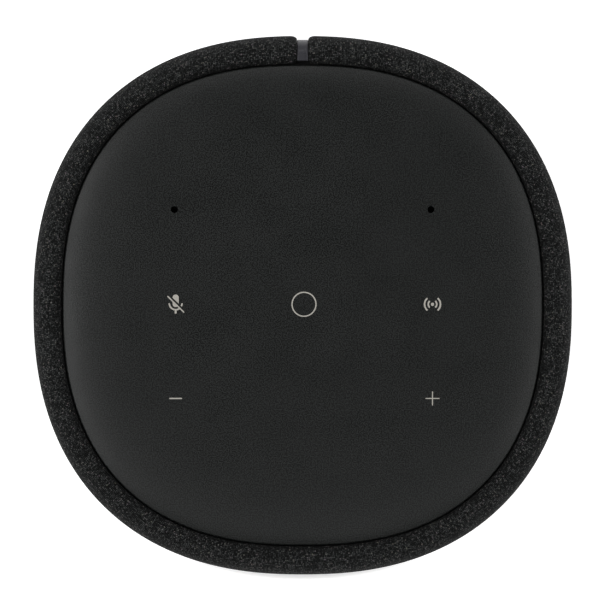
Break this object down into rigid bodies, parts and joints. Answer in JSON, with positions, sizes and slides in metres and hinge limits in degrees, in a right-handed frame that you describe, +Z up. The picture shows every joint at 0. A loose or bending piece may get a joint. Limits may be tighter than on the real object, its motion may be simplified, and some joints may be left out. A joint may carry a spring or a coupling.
{
  "type": "smart home hub",
  "caption": "Soft-square column speaker hub in a cloth sleeve, with a crowned touch panel on top and sprung speaker cones inside.",
  "frame": {"origin": "on the surface it stands on, under the centre of the column", "axes": "+Z up, +X to the listener's right when facing the front, +Y to the rear seam and mains inlet; the front is -Y"},
  "size_m": [0.14, 0.1399, 0.188],
  "materials": {
    "cloth": "wool-blend weave, black melange",
    "soft_touch": "soft-touch lacquer, very fine grain",
    "satin_plastic": "satin moulded",
    "black_plastic": "matt moulded",
    "grey_plastic": "matt moulded",
    "rubber": "matt",
    "steel": "zinc plated",
    "black_steel": "black satin coat",
    "aluminium": "extruded",
    "brass": "bright",
    "copper": "enamelled winding",
    "ferrite": "sintered, matt",
    "paper": "pressed paper cone",
    "silk": "coated silk",
    "spider_cloth": "resin-dipped cotton",
    "circuit_board": "green solder mask",
    "clear": "clear light guide plastic",
    "wire": "black jacket",
    "film": "amber polyimide film"
  },
  "bodies": {
    "housing": {"rubber_foot": "rubber", "base_plate": "black_plastic", "fabric_sleeve": "cloth", "grille_frame": "black_plastic", "seam_spine": "satin_plastic", "top_panel": "soft_touch", "top_frame": "black_plastic", "touch_board": "circuit_board", "mic_boot_left": "rubber", "mic_boot_right": "rubber", "mic_capsule_left": "steel", "mic_capsule_right": "steel", "cabinet_front": "grey_plastic", "cabinet_rear": "grey_plastic", "woofer_basket": "black_steel", "woofer_gasket": "rubber", "woofer_surround": "rubber", "woofer_spider": "spider_cloth", "woofer_top_plate": "steel", "woofer_magnet": "ferrite", "woofer_yoke": "steel", "tweeter_faceplate": "black_plastic", "tweeter_surround": "silk", "tweeter_magnet": "steel", "tweeter_cup": "steel", "main_board": "circuit_board", "shield_can": "steel", "heat_sink": "aluminium", "power_board": "circuit_board", "transformer": "ferrite", "bulk_capacitor": "black_plastic", "connector_panel": "satin_plastic", "power_inlet": "black_plastic", "inlet_pin_left": "brass", "inlet_pin_right": "brass", "service_port": "steel", "status_led_board": "circuit_board", "status_light_guide": "clear", "woofer_lead": "wire", "tweeter_lead": "wire", "mains_lead": "wire", "dc_lead": "wire", "touch_flex_cable": "film", "base_screw_1": "black_steel", "woofer_screw_1": "black_steel", "base_screw_2": "black_steel", "woofer_screw_2": "black_steel", "base_screw_3": "black_steel", "woofer_screw_3": "black_steel", "base_screw_4": "black_steel", "woofer_screw_4": "black_steel", "tweeter_screw_1": "black_steel", "main_board_screw_1": "steel", "tweeter_screw_2": "black_steel", "main_board_screw_2": "steel"},
    "woofer_diaphragm": {"woofer_cone": "paper", "woofer_dust_cap": "paper", "woofer_voice_coil": "copper"},
    "tweeter_diaphragm": {"tweeter_dome": "silk", "tweeter_voice_coil": "copper"}
  },
  "joints": [
    {"name": "woofer_excursion", "type": "slide", "parent": "housing", "child": "woofer_diaphragm", "axis": [0, -1, 0], "range_m": [-0.0035, 0.0035], "stiffness_N_per_m": 1500, "deforming": ["woofer_surround", "woofer_spider"]},
    {"name": "tweeter_excursion", "type": "slide", "parent": "housing", "child": "tweeter_diaphragm", "axis": [0, -1, 0], "range_m": [-0.0004, 0.0004], "stiffness_N_per_m": 300, "deforming": ["tweeter_surround"]}
  ]
}
